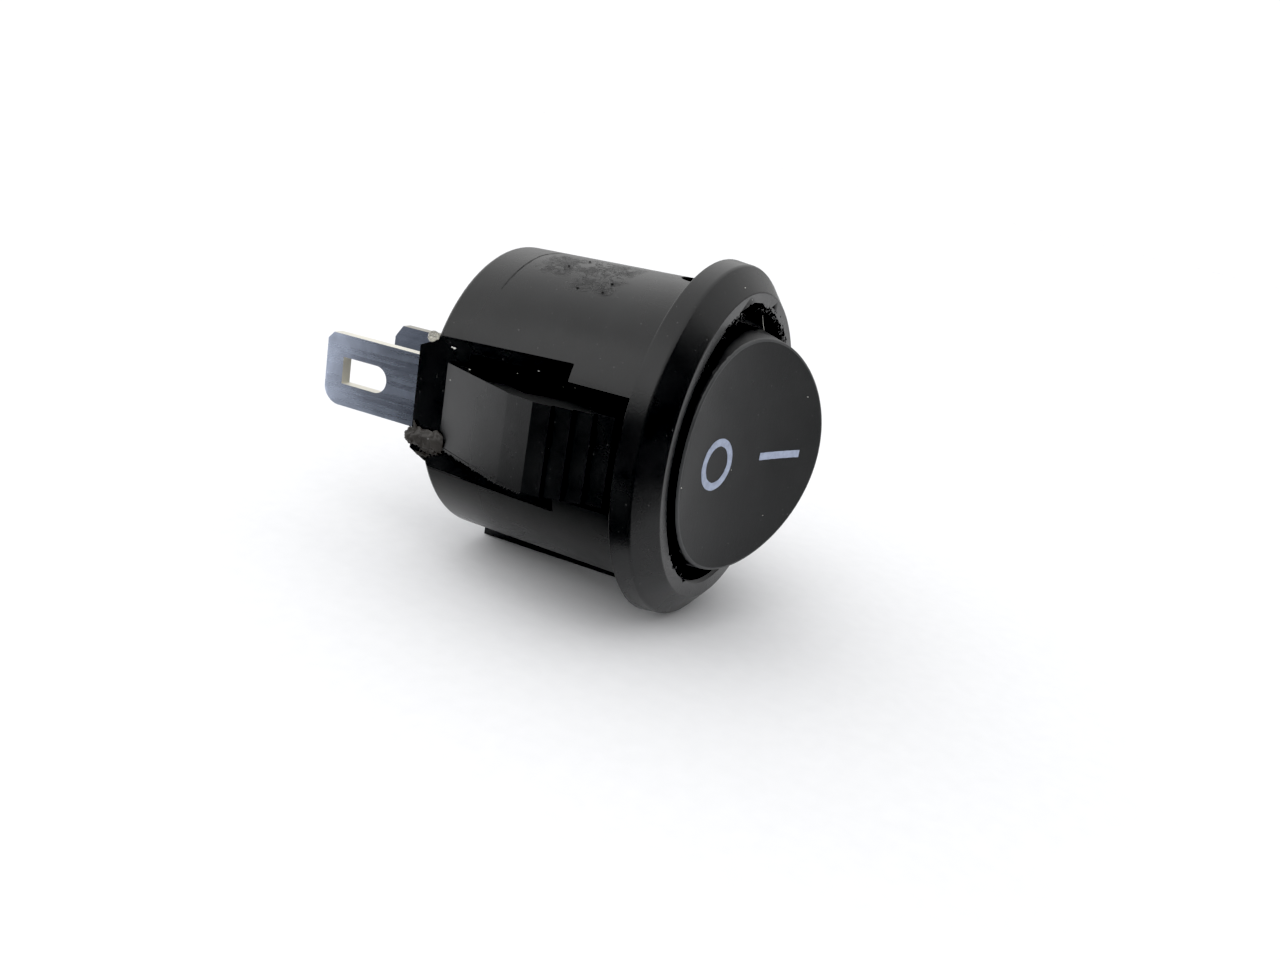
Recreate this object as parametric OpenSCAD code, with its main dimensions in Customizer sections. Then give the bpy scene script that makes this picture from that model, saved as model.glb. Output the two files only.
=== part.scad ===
// Round snap-in panel rocker switch, single pole, with two blade terminals.
// The barrel's axis is Y: the rocker faces -Y and the terminals point along +Y.
// The origin is the centre of the bezel's back face, which seats on the panel.
// The rocker's pivot is parallel to Z. The O side is -X and the I side is +X.

/* [Bezel] */
// Width of the flange that stands out beyond the barrel
flange_w = 1.6; // [1.2:0.1:3]
// Thickness of the bezel in front of the panel
bezel_t = 2.5; // [2:0.1:4]
// Height of the nearly straight rim, measured from the panel
rim_h = 1.3; // [0.8:0.05:1.6]
// Radius that the rim loses over its height
rim_draft = 0.15; // [0.05:0.05:0.4]
// Width of the flat lip round the opening
lip_w = 1.1; // [0.7:0.05:1.5]
// Corner radius between the rim and the bevel
rim_r = 0.4; // [0.2:0.05:0.5]
// Small edge break on the moulding's other corners
edge_r = 0.2; // [0.1:0.05:0.3]

/* [Barrel] */
// Diameter of the barrel behind the bezel
barrel_d = 19.8; // [19:0.1:21]
// Length of the barrel behind the panel's front face
barrel_len = 14.6; // [13.6:0.1:18]
// Radius that the barrel loses towards the rear
barrel_draft = 0.23; // [0.05:0.01:0.4]
// Wall between the rocker's well and the outside
well_wall = 1.1; // [1:0.05:1.4]
// Wall round the contact chamber
chamber_wall = 1.5; // [1.2:0.1:1.9]
// Depth of the rocker's well behind the panel's front face
well_depth = 3.6; // [3.5:0.1:4.4]
// Thickness of the floor that carries the terminals
floor_t = 1.8; // [1.4:0.1:2.6]
// Distance from the axis to the flats that carry the wings
flat_x = 8.7; // [8.5:0.05:9]
// Distance behind the panel's front face at which the flats begin
flat_start = 4.85; // [4.5:0.05:6]
// Width of the keying rib along the underside
key_w = 2.2; // [1.6:0.1:3]
// Height of the keying rib
key_h = 0.6; // [0.4:0.05:0.8]
// Distance between the rib's rear end and the barrel's
key_end = 0.4; // [0.2:0.1:2]

/* [Wings] */
// Width of each snap-in wing
wing_w = 5.35; // [4.5:0.05:5.5]
// Height of the wing's crest above the flat
crest_h = 3.7; // [3.2:0.1:4.2]
// Distance of the crest behind the panel's front face
crest_y = 5.1; // [4.6:0.1:5.8]
// Height of the wing's free end above the flat
tip_h = 2.2; // [1.9:0.1:2.6]
// Gap between the bezel and the wing's free end
tip_gap = 0.45; // [0.3:0.05:0.8]
// Length of the flatter land behind the crest
land_len = 1.94; // [1.4:0.1:2.4]
// Drop of the land towards the rear
land_drop = 0.44; // [0.3:0.02:0.7]
// Distance between the wing's root and the barrel's rear end
root_end = 1; // [0.8:0.1:1.6]
// Thickness of the wing's ramp
wing_t = 1.1; // [0.9:0.05:1.4]
// Thickness of the wing at its latching teeth
latch_t = 1.9; // [1.6:0.05:2.2]
// Number of latching teeth, one for each panel thickness
teeth = 4; // [3:1:6]
// Share of each tooth's drop that its land takes
tooth_slope = 0.35; // [0.2:0.05:0.6]
// Open slot on each side of the wing
wing_slot = 0.86; // [0.6:0.02:1]
// Depth of the pocket floor behind the flat
pocket_depth = 0.8; // [0.6:0.05:0.9]
// Wall between the pocket and the contact chamber
pocket_wall = 0.9; // [0.8:0.05:1.1]
// Gap between the pocket's front end and the wing's free end
tip_room = 0.05; // [0.05:0.05:0.3]
// Distance between the pocket's rear end and the barrel's
pocket_end = 2.6; // [2.4:0.1:3.4]

/* [Terminal block] */
// Height of the block behind the barrel
block_h = 1.2; // [0.8:0.1:2]
// Width of the block at the barrel
block_w = 7.8; // [7:0.1:8.6]
// Width that the block loses on each side over its height
block_draft = 0.55; // [0.2:0.05:0.8]

/* [Rocker] */
// Half of the rocker's swing, and its tilt in either position
swing = 15; // [12:0.5:16]
// Height of the middle of the face in front of the panel
face_h = 4.15; // [3.9:0.05:5]
// Depth of the hollow across the face
face_sag = 0.88; // [0.5:0.02:1.2]
// Gap between the opening and the rocker at the front of the bezel
rocker_gap = 1; // [0.9:0.05:1.3]
// Radius that the rocker gains from its face down to the bezel
face_flare = 0.6; // [0.4:0.05:0.8]
// Radius that the skirt gains from the bezel down to its lower edge
skirt_flare = 0.2; // [0.1:0.05:0.25]
// Thickness of the rocker's top
top_t = 1.4; // [1:0.1:2]
// Thickness of the skirt
skirt_t = 1.1; // [0.9:0.05:1.4]
// Distance from the skirt's lower edge to the pivot
skirt_end = 0.3; // [0.2:0.05:1]
// Thickness of the webs under the face
web_t = 1; // [0.8:0.1:1.4]

/* [Pivot] */
// Distance of the pivot behind the panel's front face
pivot_y = 1.45; // [1.4:0.05:1.8]
// Diameter of the trunnions
pivot_d = 2.5; // [2:0.05:2.6]
// Radial clearance of the trunnions in the barrel
pivot_clear = 0.07; // [0.03:0.01:0.1]
// Distance from the trunnions' ends to the barrel's surface
pivot_recess = 0.4; // [0.2:0.05:0.6]
// Material round each trunnion in its ear
ear_wall = 0.65; // [0.5:0.05:0.7]

/* [Plunger] */
// Diameter of the plunger
plunger_d = 3; // [2.8:0.1:3.4]
// Radial clearance of the plunger in its boss
plunger_clear = 0.05; // [0.03:0.01:0.1]
// Wall of the boss that guides the plunger
boss_wall = 0.95; // [0.8:0.05:1.2]
// Length of the boss beyond the pivot
boss_len = 5; // [4.6:0.1:5.4]
// Material left between the rocker's hollow and the end of the boss's bore
bore_stop = 0.6; // [0.4:0.1:1.2]
// Radius of the plunger's round tip
tip_r = 0.8; // [0.6:0.05:0.9]
// Least gap between the tip and the lever over the travel
tip_clear = 0.05; // [0.03:0.01:0.1]
// Length of the slender nose behind the tip
nose_len = 0.5; // [0.3:0.05:0.9]
// Wall of the plunger round its spring
plunger_wall = 0.45; // [0.35:0.05:0.5]
// Length of the plunger that stays in the boss
plunger_guide = 3.4; // [3:0.1:3.8]
// Wire of the spring
wire_d = 0.3; // [0.2:0.02:0.4]
// Radial gap between the spring and the plunger
spring_gap = 0.12; // [0.08:0.01:0.2]
// Gap between each end of the spring and its seat
spring_seat = 0.03; // [0.02:0.01:0.1]
// Number of turns of the spring
turns = 10; // [7:0.5:12]

/* [Terminals] */
// Width of the blades
tab_w = 4.8; // [4.4:0.1:5.2]
// Thickness of the blades
tab_t = 0.8; // [0.7:0.05:0.9]
// Length of the blades behind the block
tab_len = 8.5; // [7:0.1:10]
// Distance between the two blades
tab_pitch = 7; // [6.9:0.05:7.1]
// Corner cut at the blades' ends
tab_corner = 0.75; // [0.4:0.05:1]
// Width of the slot in each blade
tab_slot_w = 1.8; // [1.4:0.1:2.2]
// Length of the slot
tab_slot_len = 3.65; // [2.6:0.05:4.4]
// Distance from the slot to the blade's end
tab_slot_end = 1.5; // [1:0.05:2]
// Gap round each blade in the floor
tab_clear = 0.05; // [0.03:0.01:0.1]
// Corner radius inside the bent foot
bend_r = 0.25; // [0.15:0.05:0.35]

/* [Contacts] */
// Height of the lever's fulcrum above the floor
fulcrum_h = 1.8; // [1.7:0.05:2]
// Running clearance of the lever on its fulcrum
fulcrum_clear = 0.05; // [0.03:0.01:0.1]
// Half of the lever's swing
lever_swing = 12.5; // [11:0.5:13]
// Width of the lever
lever_w = 5; // [4:0.1:5.4]
// Thickness of the lever
lever_t = 0.6; // [0.4:0.05:0.7]
// Angle of the dish that the plunger rides in
dish_a = 20; // [18:0.5:22]
// Half length of the dish
dish_half = 2.9; // [2.6:0.1:3.2]
// Half length of the lever
lever_half = 5.6; // [5.3:0.1:5.8]
// Half length of the thick middle that sits on the fulcrum
pad_half = 0.9; // [0.7:0.05:1.2]
// Distance from the fulcrum to the moving contact
contact_x = 4.6; // [4.3:0.1:4.7]
// Radius of the contacts' heads
head_r = 1.1; // [0.9:0.05:1.15]
// Height of the fixed contact's head
head_h = 0.8; // [0.6:0.05:0.9]
// Radius of the moving contact's dome
dome_r = 2; // [1.6:0.1:2.6]
// Radius of the rivets' shanks
shank_r = 0.6; // [0.5:0.05:0.7]
// Radius of the rivets' peened ends
peen_r = 0.85; // [0.75:0.05:0.95]
// Thickness of the peened ends
peen_h = 0.25; // [0.15:0.05:0.35]
// Gap round each shank in its hole
shank_gap = 0.03; // [0.02:0.01:0.05]
// Gap left between the contacts when closed, and under the lever when open
touch_gap = 0.04; // [0.02:0.01:0.08]
// Gap between the lever and the ears that keep it in place
ear_gap = 0.1; // [0.05:0.05:0.2]
// Width of the ears on the middle terminal
ear_w = 0.7; // [0.5:0.05:0.8]
// Height of the ears above the fulcrum
ear_h = 1.4; // [1:0.1:1.6]
// Length of the moulded stop under the lever
stop_len = 1; // [0.8:0.1:1.4]
// Distance from the stop's sides to the lever's
stop_inset = 0.5; // [0.2:0.1:1]

/* [Hidden] */
$fn = 96;
// How far a cut reaches past the face that it opens
over = 0.5;
// Faces of each rounded corner
corner_steps = 6;
// Steps of the rocker's travel at which the tip's reach is worked out
travel_steps = 12;
// Sides and rings of the spring's wire
wire_sides = 6;
rings_per_turn = 16;

barrel_r = barrel_d / 2;
rear_r = barrel_r - barrel_draft;
bezel_r = barrel_r + flange_w;
opening_r = barrel_r - well_wall;
chamber_r = barrel_r - chamber_wall;
pocket_x = flat_x - pocket_depth;
chamber_x = pocket_x - pocket_wall;
floor_y = barrel_len - floor_t;
block_y = barrel_len + block_h;

fulcrum_r = tab_t / 2;
fulcrum_y = floor_y - fulcrum_h;
saddle_h = fulcrum_r + lever_t;
arm_top = saddle_h + dish_half * tan(dish_a);
arm_under = arm_top - lever_t;
foot_y = floor_y - tab_t;
fixed_face_y = foot_y - head_h;
// Centre of the moving contact's dome along Y from the lever's axis, so that it lands on the fixed one
dome_centre = (fixed_face_y - touch_gap - fulcrum_y - dome_r - contact_x * sin(lever_swing)) / cos(lever_swing);
moving_tip = dome_centre + dome_r;
fixed_x = contact_x * cos(lever_swing) - dome_centre * sin(lever_swing);

skirt_r = opening_r - rocker_gap;
face_r = skirt_r - face_flare;
low_r = skirt_r + skirt_flare;
face_v = face_h + pivot_y;
edge_v = face_v + face_sag;
lip_v = bezel_t + pivot_y;
face_curve_r = (pow(face_r, 2) + pow(face_sag, 2)) / (2 * face_sag);
hollow_v = face_v - top_t;
pivot_r = pivot_d / 2;
trunnion_end = barrel_r - pivot_recess;
ear_r = pivot_r + ear_wall;

plunger_r = plunger_d / 2;
boss_r = plunger_r + plunger_clear + boss_wall;
// How far the tip's centre may lie from the pivot with the rocker turned by t from mid-travel
function tip_reach(t) =
    let (lever_a = lever_swing * t / swing, n = [sin(dish_a - lever_a), cos(dish_a - lever_a)])
    let (dish = [saddle_h * sin(lever_a), fulcrum_y - pivot_y - saddle_h * cos(lever_a)])
    (n * dish - tip_r - tip_clear) / (n * [sin(t), cos(t)]);
tip_v = min([for (i = [0:travel_steps]) tip_reach(swing * i / travel_steps)]);
shoulder_v = tip_v - nose_len - (plunger_r - tip_r);
plunger_top = boss_len - plunger_guide;
cup_r = plunger_r - plunger_wall;
cup_v = shoulder_v - plunger_wall;
bore_v = hollow_v - bore_stop;
coil_r = cup_r - spring_gap - wire_d / 2;

function unit(v) = v / norm(v);
function wrap(a) = a > 180 ? a - 360 : a < -180 ? a + 360 : a;
function arc_pts(c, r, a0, sweep, n) = [for (i = [0:n]) c + r * [cos(a0 + sweep * i / n), sin(a0 + sweep * i / n)]];
// Rounds the corner b between the lines to a and c
function round_at(a, b, c, r, n = corner_steps) =
    let (u = unit(a - b), w = unit(c - b), half = acos(u * w) / 2)
    let (m = b + unit(u + w) * r / sin(half), p = b + u * r / tan(half), q = b + w * r / tan(half))
    let (a0 = atan2(p.y - m.y, p.x - m.x), a1 = atan2(q.y - m.y, q.x - m.x))
    arc_pts(m, r, a0, wrap(a1 - a0), n);
function turned(p, a) = [p.x * cos(a) - p.y * sin(a), p.x * sin(a) + p.y * cos(a)];

// Turns a profile of [radius, distance along Y] about the barrel's axis
module revolve_y() {
    rotate([-90, 0, 0])
        rotate_extrude()
            children();
}

// Half of a ball of radius r centred at y, cut to the stretch y0 to y1 and to the radius limit
module ball_profile(y, r, y0, y1, limit) {
    intersection() {
        translate([0, y])
            circle(r = r);
        translate([0, y0])
            square([limit, y1 - y0]);
    }
}

// A cylinder along Y, from y0 to y1
module rod_y(r, y0, y1) {
    translate([0, y0, 0])
        rotate([-90, 0, 0])
            cylinder(r = r, h = y1 - y0);
}

// Extrudes a profile drawn in [Y, Z] along X, centred
module slab_x(t) {
    rotate([90, 0, 90])
        linear_extrude(t, center = true)
            children();
}

module box_between(a, b) {
    translate(a)
        cube(b - a);
}

// ---- Housing ----

module housing_outline() {
    front = [barrel_r, -bezel_t];
    lip_in = [barrel_r - lip_w, -bezel_t];
    rim = [bezel_r - rim_draft, -rim_h];
    back = [bezel_r, 0];
    rear = [rear_r, barrel_len];
    polygon(concat(
        [[0, -bezel_t], lip_in],
        round_at(lip_in, front, rim, edge_r),
        round_at(front, rim, back, rim_r),
        round_at(rim, back, [barrel_r, 0], edge_r / 2),
        [[barrel_r, 0]],
        round_at([barrel_r, 0], rear, [0, barrel_len], edge_r * 2),
        [[0, barrel_len]]
    ));
}

// The rocker's opening, with a small break at its mouth
module rocker_well() {
    revolve_y()
        polygon([
            [0, -bezel_t - over], [opening_r + edge_r + over, -bezel_t - over],
            [opening_r, -bezel_t + edge_r], [opening_r, well_depth], [0, well_depth]
        ]);
}

module key_rib() {
    box_between([-key_w / 2, 0, -barrel_r - key_h], [key_w / 2, barrel_len - key_end, -chamber_r]);
}

// The raised block that the blades leave through, with drafted sides
module terminal_block() {
    low = block_w / 2;
    high = low - block_draft;
    slab_x(2 * flat_x)
        polygon([
            [floor_y, -low], [barrel_len, -low], [block_y, -high],
            [block_y, high], [barrel_len, low], [floor_y, low]
        ]);
}

// The wing on the I side: a springy ramp rooted at the rear, with teeth that grip the panel
module wing() {
    root = [flat_x, barrel_len - root_end];
    crest = [flat_x + crest_h, crest_y];
    land = [crest.x - land_drop, crest_y + land_len];
    tip = [flat_x + tip_h, tip_gap];
    step = (crest - tip) / teeth;
    ramp_in = unit([land.y - root.y, root.x - land.x]) * wing_t;
    latch_in = unit([tip.y - crest.y, crest.x - tip.x]) * latch_t;
    inner_tip = tip + latch_in + (tip - crest) * (latch_in.y / step.y / teeth);
    inner_crest = crest + latch_in;
    outer = [for (i = [0:teeth - 1]) each [
        crest - i * step,
        [crest.x - (i + tooth_slope) * step.x, crest.y - (i + 1) * step.y]
    ]];
    linear_extrude(wing_w, center = true)
        polygon(concat(
            [[pocket_x - over, root.y], root, land],
            outer,
            [tip, inner_tip, inner_crest, land + ramp_in, root + ramp_in, [pocket_x - over, root.y - over]]
        ));
}

// The pocket in which the wing on the I side bends inwards
module wing_pocket() {
    half = wing_w / 2 + wing_slot;
    box_between([pocket_x, tip_gap - tip_room, -half], [bezel_r, barrel_len - pocket_end, half]);
}

module wing_flat() {
    box_between([flat_x, flat_start, -barrel_r], [bezel_r, barrel_len + over, barrel_r]);
}

module contact_chamber() {
    intersection() {
        rod_y(chamber_r, well_depth - over, floor_y);
        box_between([-chamber_x, 0, -barrel_r], [chamber_x, floor_y, barrel_r]);
    }
}

// The moulded post that the lever's free arm rests on while the switch is open
module lever_stop() {
    x0 = contact_x - stop_len / 2;
    x1 = x0 + stop_len;
    a = turned([x0, -arm_under], lever_swing);
    b = turned([x1, -arm_under], lever_swing);
    top = fulcrum_y + touch_gap / cos(lever_swing);
    linear_extrude(lever_w - 2 * stop_inset, center = true)
        polygon([[a.x, floor_y + over], [a.x, a.y + top], [b.x, b.y + top], [b.x, floor_y + over]]);
}

// Room for the line blade's bent foot, beside the chamber and at the corner that it bends round
module foot_room() {
    inner = -tab_pitch + tab_t / 2;
    side = tab_w / 2 + tab_clear;
    bevel = bend_r + tab_clear;
    box_between(
        [-tab_pitch - tab_t / 2 - tab_clear, foot_y - tab_clear, -side],
        [-chamber_x + over, floor_y, side]
    );
    linear_extrude(2 * side, center = true)
        polygon([[inner, floor_y - over], [inner, floor_y + bevel], [inner + bevel, floor_y],
            [inner + bevel, floor_y - over]]);
}

module blade_slot(x) {
    half_t = tab_t / 2 + tab_clear;
    half_w = tab_w / 2 + tab_clear;
    box_between([x - half_t, floor_y - over, -half_w], [x + half_t, block_y + over, half_w]);
}

module housing() {
    color([0.11, 0.11, 0.12])
    difference() {
        union() {
            difference() {
                union() {
                    revolve_y()
                        housing_outline();
                    key_rib();
                }
                for (side = [0, 1])
                    mirror([side, 0, 0]) {
                        wing_flat();
                        wing_pocket();
                    }
                rocker_well();
                contact_chamber();
            }
            terminal_block();
            lever_stop();
            for (side = [0, 1])
                mirror([side, 0, 0])
                    wing();
        }
        translate([0, pivot_y, 0])
            cylinder(r = pivot_r + pivot_clear, h = 3 * barrel_r, center = true);
        blade_slot(0);
        blade_slot(-tab_pitch);
        foot_room();
        translate([-fixed_x, 0, 0])
            rod_y(peen_r + shank_gap, floor_y - over, floor_y + 2 * peen_h);
    }
}

// ---- Rocker, drawn about its pivot and then tilted ----

module at_rocker() {
    translate([0, pivot_y, 0])
        rotate([0, 0, -swing])
            children();
}

module rocker_outside() {
    revolve_y()
        polygon([
            [0, -edge_v], [face_r, -edge_v], [skirt_r, -lip_v], [low_r, -skirt_end], [0, -skirt_end]
        ]);
}

module rocker_hollow() {
    revolve_y()
        polygon([
            [0, -hollow_v], [skirt_r - skirt_t - edge_r, -hollow_v], [skirt_r - skirt_t, -hollow_v + edge_r],
            [low_r - skirt_t, -skirt_end + over], [0, -skirt_end + over]
        ]);
}

// An ear inside the skirt on each side of the pivot, which carries the trunnion
module rocker_ears() {
    intersection() {
        union() {
            rocker_outside();
            rod_y(low_r, -skirt_end - over / 2, ear_r);
        }
        for (side = [-1, 1])
            translate([0, 0, side * (low_r - skirt_t / 2)])
                linear_extrude(2 * skirt_t, center = true)
                    union() {
                        circle(r = ear_r);
                        translate([-ear_r, -hollow_v])
                            square([2 * ear_r, hollow_v]);
                    }
    }
}

module rocker_webs() {
    reach = skirt_r - skirt_t / 2;
    box_between([-reach, -hollow_v - over, -web_t / 2], [reach, -skirt_end - web_t, web_t / 2]);
    box_between([-web_t / 2, -hollow_v - over, -reach], [web_t / 2, -skirt_end - web_t, reach]);
}

module rocker() {
    color([0.15, 0.15, 0.17])
    at_rocker()
    difference() {
        union() {
            difference() {
                rocker_outside();
                rocker_hollow();
                translate([0, -face_v - face_curve_r, 0])
                    cylinder(r = face_curve_r, h = 3 * face_r, center = true, $fn = 360);
            }
            rocker_webs();
            rod_y(boss_r, -hollow_v - over, boss_len);
            rocker_ears();
            difference() {
                cylinder(r = pivot_r, h = 2 * trunnion_end, center = true);
                cylinder(r = pivot_r + over, h = 2 * (low_r - skirt_t), center = true);
            }
        }
        rod_y(plunger_r + plunger_clear, -bore_v, boss_len + over);
    }
}

module plunger() {
    color([0.85, 0.84, 0.78])
    at_rocker()
    difference() {
        union() {
            revolve_y()
                polygon([
                    [0, plunger_top], [plunger_r, plunger_top], [plunger_r, shoulder_v],
                    [tip_r, tip_v - nose_len], [tip_r, tip_v], [0, tip_v]
                ]);
            revolve_y()
                ball_profile(tip_v, tip_r, tip_v - nose_len, tip_v + tip_r, tip_r);
        }
        rod_y(cup_r, plunger_top - over, cup_v);
    }
}

// The wire's rings along the helix, from the bore's end to the plunger's cup
function wire_ring(t, v0, rise) =
    let (a = 360 * t, c = [coil_r * cos(a), v0 + rise * t, coil_r * sin(a)])
    [for (j = [0:wire_sides - 1])
        let (b = 360 * j / wire_sides)
        c + wire_d / 2 * [cos(b) * cos(a), sin(b), cos(b) * sin(a)]];

module plunger_spring() {
    v0 = -bore_v + wire_d / 2 + spring_seat;
    v1 = cup_v - wire_d / 2 - spring_seat;
    count = round(turns * rings_per_turn);
    rings = [for (i = [0:count]) wire_ring(i / rings_per_turn, v0, (v1 - v0) / turns)];
    last = count * wire_sides;
    color([0.75, 0.75, 0.78])
    at_rocker()
        polyhedron(
            points = [for (r = rings) each r],
            faces = concat(
                [[for (j = [0:wire_sides - 1]) wire_sides - 1 - j]],
                [for (i = [0:count - 1], j = [0:wire_sides - 1])
                    let (k = (j + 1) % wire_sides, p = i * wire_sides, q = p + wire_sides)
                    each [[p + j, p + k, q + k], [p + j, q + k, q + j]]],
                [[for (j = [0:wire_sides - 1]) last + j]]
            )
        );
}

// ---- Contact lever, drawn level about its axis and then tilted ----

module at_lever() {
    translate([0, fulcrum_y, 0])
        rotate([0, 0, lever_swing])
            children();
}

module lever_profile() {
    under_dish = dish_half + lever_t * tan(dish_a / 2);
    difference() {
        polygon([
            [-lever_half, -arm_top], [-dish_half, -arm_top], [0, -saddle_h],
            [dish_half, -arm_top], [lever_half, -arm_top], [lever_half, -arm_under],
            [under_dish, -arm_under], [pad_half, -saddle_h + lever_t / cos(dish_a) - pad_half * tan(dish_a)],
            [pad_half, -fulcrum_r / 2], [-pad_half, -fulcrum_r / 2],
            [-pad_half, -saddle_h + lever_t / cos(dish_a) - pad_half * tan(dish_a)],
            [-under_dish, -arm_under], [-lever_half, -arm_under]
        ]);
        circle(r = fulcrum_r + fulcrum_clear);
    }
}

module contact_lever() {
    color([0.80, 0.52, 0.32])
    at_lever()
    difference() {
        linear_extrude(lever_w, center = true)
            lever_profile();
        translate([-contact_x, 0, 0])
            rod_y(shank_r + shank_gap, -arm_top - over, -arm_under + over);
    }
}

module moving_contact() {
    color([0.83, 0.83, 0.80])
    at_lever()
    translate([-contact_x, 0, 0]) {
        revolve_y()
            ball_profile(dome_centre, dome_r, -arm_under, moving_tip, head_r);
        rod_y(shank_r, -arm_top - peen_h, -arm_under + peen_h);
        rod_y(peen_r, -arm_top - peen_h, -arm_top);
    }
}

// ---- Terminals ----

// The outline of a blade from y0 to its end, with cut corners and a slot with one round end
module blade_outline(y0) {
    y1 = block_y + tab_len;
    half = tab_w / 2;
    slot_y1 = y1 - tab_slot_end;
    slot_y0 = slot_y1 - tab_slot_len;
    difference() {
        polygon([
            [y0, -half], [y1 - tab_corner, -half], [y1, -half + tab_corner],
            [y1, half - tab_corner], [y1 - tab_corner, half], [y0, half]
        ]);
        translate([slot_y0 + tab_slot_w / 2, 0])
            circle(r = tab_slot_w / 2);
        translate([slot_y0 + tab_slot_w / 2, -tab_slot_w / 2])
            square([tab_slot_len - tab_slot_w / 2, tab_slot_w]);
    }
}

module common_terminal() {
    ear_in = lever_w / 2 + ear_gap;
    ear_out = ear_in + ear_w;
    color([0.70, 0.72, 0.75])
    union() {
        slab_x(tab_t)
            blade_outline(floor_y - over);
        box_between([-tab_t / 2, fulcrum_y, -ear_out], [tab_t / 2, floor_y, ear_out]);
        translate([0, fulcrum_y, 0])
            cylinder(r = fulcrum_r, h = 2 * ear_out, center = true);
        for (side = [0, 1])
            mirror([0, 0, side])
                box_between([-tab_t / 2, fulcrum_y - ear_h, ear_in], [tab_t / 2, floor_y, ear_out]);
    }
}

module line_terminal() {
    foot_end = fixed_x - head_r - tab_t / 2;
    outer_r = bend_r + tab_t;
    corner = tab_pitch - tab_t / 2 - bend_r;
    color([0.70, 0.72, 0.75])
    difference() {
        union() {
            translate([-tab_pitch, 0, 0])
                slab_x(tab_t)
                    blade_outline(foot_y + outer_r);
            translate([-corner, foot_y + outer_r, 0])
                linear_extrude(tab_w, center = true)
                    difference() {
                        circle(r = outer_r);
                        circle(r = bend_r);
                        translate([0, -2 * outer_r])
                            square(4 * outer_r);
                        translate([-2 * outer_r, 0])
                            square(4 * outer_r);
                    }
            box_between([-corner, foot_y, -tab_w / 2], [-foot_end, floor_y, tab_w / 2]);
        }
        translate([-fixed_x, 0, 0])
            rod_y(shank_r + shank_gap, foot_y - over, floor_y + over);
    }
}

module fixed_contact() {
    color([0.83, 0.83, 0.80])
    translate([-fixed_x, 0, 0]) {
        rod_y(head_r, fixed_face_y, foot_y);
        rod_y(shank_r, foot_y - over / 2, floor_y + peen_h);
        rod_y(peen_r, floor_y, floor_y + peen_h);
    }
}

housing();
rocker();
plunger();
plunger_spring();
contact_lever();
moving_contact();
common_terminal();
line_terminal();
fixed_contact();
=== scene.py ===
import math
import random

import bmesh
import bpy
from mathutils import Matrix, Vector, noise


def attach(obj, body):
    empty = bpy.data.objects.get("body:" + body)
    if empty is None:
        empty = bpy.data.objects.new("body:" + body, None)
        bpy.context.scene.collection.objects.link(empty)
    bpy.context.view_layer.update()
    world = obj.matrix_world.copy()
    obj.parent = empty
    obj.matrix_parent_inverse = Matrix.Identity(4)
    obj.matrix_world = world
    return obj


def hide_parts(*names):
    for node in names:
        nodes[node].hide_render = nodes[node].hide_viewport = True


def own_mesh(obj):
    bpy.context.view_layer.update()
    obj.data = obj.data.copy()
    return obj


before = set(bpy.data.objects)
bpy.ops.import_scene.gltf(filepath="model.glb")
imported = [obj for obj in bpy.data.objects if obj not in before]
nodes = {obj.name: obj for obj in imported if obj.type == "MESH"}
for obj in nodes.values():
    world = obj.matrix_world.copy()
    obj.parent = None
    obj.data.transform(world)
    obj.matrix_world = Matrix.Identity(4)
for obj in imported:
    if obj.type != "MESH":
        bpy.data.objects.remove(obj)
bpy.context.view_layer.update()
MM = 0.001

# Main sizes of the part, in millimetres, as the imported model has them
BARREL_R = 9.9
BARREL_LEN = 14.6
BARREL_DRAFT = 0.23
FLAT_X = 8.7
OPENING_R = 8.8
BEZEL_T = 2.5
BEZEL_R = 11.5
RIM_H = 1.3
RIM_FRONT_R = 11.35
BEVEL_FRONT_R = 9.9
PIVOT_Y = 1.45
TILT = math.radians(-15)

# The rocker's hollow face, in the rocker's own frame
FACE_V = 5.6
FACE_R = 7.2
FACE_DIP = 0.88
FACE_CURVE_R = (FACE_R ** 2 + FACE_DIP ** 2) / (2 * FACE_DIP)

# The housing's turned surfaces: first and last y, and the radius at each
TURNED = (
    (0.0, BARREL_LEN, BARREL_R, BARREL_R - BARREL_DRAFT),
    (-RIM_H, 0.0, RIM_FRONT_R, BEZEL_R),
    (-BEZEL_T, -RIM_H, BEVEL_FRONT_R, RIM_FRONT_R),
)

# Scraped places on the barrel: first and last angle from -X towards +Z, first and last y
SCUFFS = ((66, 84, 8.9, 11.1), (70, 86, 5.2, 8.7), (58, 70, 5.0, 7.9))


# ---------------------------------------------------------------- materials


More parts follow.
